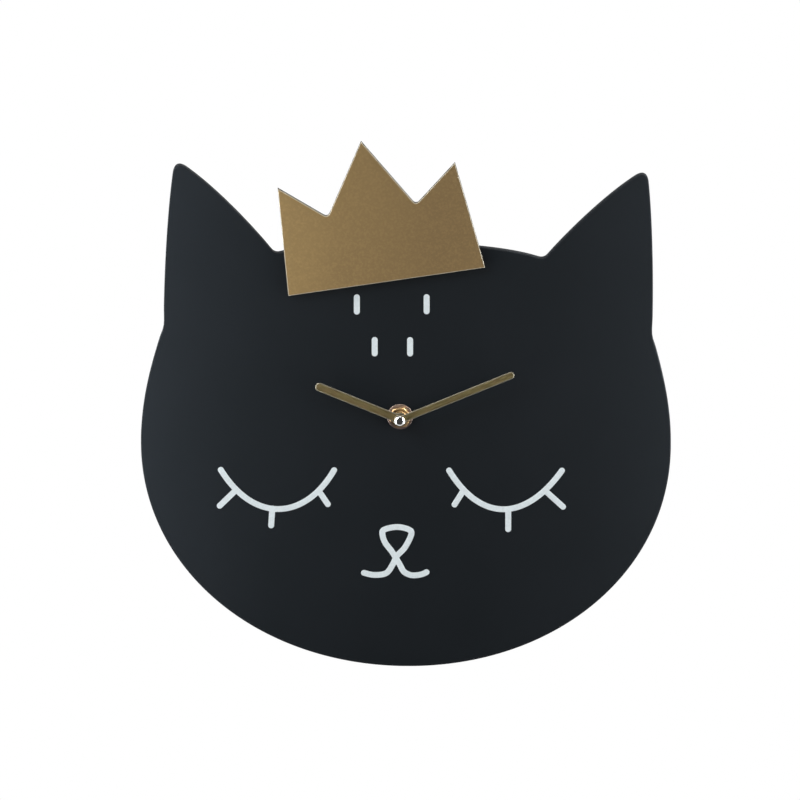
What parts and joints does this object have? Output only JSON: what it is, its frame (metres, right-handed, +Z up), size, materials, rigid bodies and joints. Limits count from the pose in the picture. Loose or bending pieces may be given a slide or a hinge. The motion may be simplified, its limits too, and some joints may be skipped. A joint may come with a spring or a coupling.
{
  "type": "cat-head wall clock",
  "caption": "Flat cat-head wall clock with a tilted crown, hour and minute hands at its centre and a battery quartz movement hung on its back.",
  "frame": {"origin": "the point where the spindle's axis meets the wall, on the flat back of the movement", "axes": "+Z up, +X to the right as seen from the front, +Y back into the wall, so that the clock faces -Y"},
  "size_m": [0.3, 0.0351, 0.3067],
  "materials": {
    "head_black": "smooth satin black",
    "crown_gold": "satin gold with a fine grain",
    "tape": "white foam tape",
    "rubber": "matt black rubber",
    "brass": "turned, bright",
    "hand_gold": "brushed olive gold",
    "chrome": "polished",
    "case_black": "moulded, fine texture",
    "white_plastic": "moulded, smooth",
    "steel": "bright sheet",
    "magnet": "sintered grey",
    "copper": "enamelled winding wire",
    "board": "phenolic circuit board",
    "chip_black": "epoxy",
    "battery_shell": "plain printed sleeve, no label"
  },
  "bodies": {
    "clock_body": {"head_plate": "head_black", "crown": "crown_gold", "crown_tape": "tape", "gasket": "rubber", "washer": "brass", "nut": "brass", "threaded_bush": "brass", "movement_case": "case_black", "middle_plate": "white_plastic", "back_cover": "case_black", "stator": "steel", "coil_core": "steel", "coil_bobbin": "white_plastic", "coil_winding": "copper", "circuit_board": "board", "chip": "chip_black", "crystal": "steel", "spring_contact": "steel", "plus_contact": "steel"},
    "minute": {"minute_hand": "hand_gold", "cap_nut": "chrome", "centre_wheel": "white_plastic"},
    "hour": {"hour_hand": "hand_gold", "hour_wheel": "white_plastic"},
    "minute_work": {"minute_work_wheel": "white_plastic"},
    "knob": {"setting_knob": "case_black"},
    "clutch_pinion": {"third_pinion": "steel"},
    "third": {"third_wheel": "white_plastic"},
    "fourth": {"fourth_wheel": "white_plastic"},
    "fifth": {"fifth_wheel": "white_plastic"},
    "rotor": {"rotor_pinion": "white_plastic", "rotor_magnet": "magnet"},
    "cell": {"battery": "battery_shell"}
  },
  "joints": [
    {"name": "minute_turn", "type": "hinge", "parent": "clock_body", "child": "minute", "pos_m": [0, 0, 0], "axis": [0, 1, 0], "continuous": true},
    {"name": "hour_turn", "type": "hinge", "parent": "clock_body", "child": "hour", "pos_m": [0, 0, 0], "axis": [0, 1, 0], "continuous": true},
    {"name": "minute_work_turn", "type": "hinge", "parent": "clock_body", "child": "minute_work", "pos_m": [-0.00272, 0, 0.01014], "axis": [0, 1, 0], "continuous": true},
    {"name": "knob_turn", "type": "hinge", "parent": "clock_body", "child": "knob", "pos_m": [-0.01181, 0, 0.01539], "axis": [0, 1, 0], "continuous": true},
    {"name": "clutch_pinion_turn", "type": "hinge", "parent": "clock_body", "child": "clutch_pinion", "pos_m": [-0.0102, 0, 0], "axis": [0, 1, 0], "continuous": true},
    {"name": "rotor_turn", "type": "hinge", "parent": "clock_body", "child": "rotor", "pos_m": [0.0115, 0, 0.00779], "axis": [0, 1, 0], "continuous": true},
    {"name": "fifth_turn", "type": "hinge", "parent": "clock_body", "child": "fifth", "pos_m": [0.0045, 0, 0.00779], "axis": [0, 1, 0], "continuous": true},
    {"name": "fourth_turn", "type": "hinge", "parent": "clock_body", "child": "fourth", "pos_m": [0, 0, 0], "axis": [0, 1, 0], "continuous": true},
    {"name": "third_turn", "type": "hinge", "parent": "clock_body", "child": "third", "pos_m": [-0.0102, 0, 0], "axis": [0, 1, 0], "continuous": true},
    {"name": "cell_slide", "type": "slide", "parent": "clock_body", "child": "cell", "axis": [0, 1, 0], "range_m": [0, 0.02]}
  ],
  "couplings": [
    {"joint": "hour_turn", "follows": "minute_turn", "ratio": 0.083333},
    {"joint": "minute_work_turn", "follows": "minute_turn", "ratio": -0.33333},
    {"joint": "knob_turn", "follows": "minute_turn", "ratio": 1},
    {"joint": "clutch_pinion_turn", "follows": "minute_turn", "ratio": -7.5},
    {"joint": "fifth_turn", "follows": "rotor_turn", "ratio": -0.16667},
    {"joint": "fourth_turn", "follows": "rotor_turn", "ratio": 0.033333},
    {"joint": "third_turn", "follows": "rotor_turn", "ratio": -0.0041667}
  ]
}
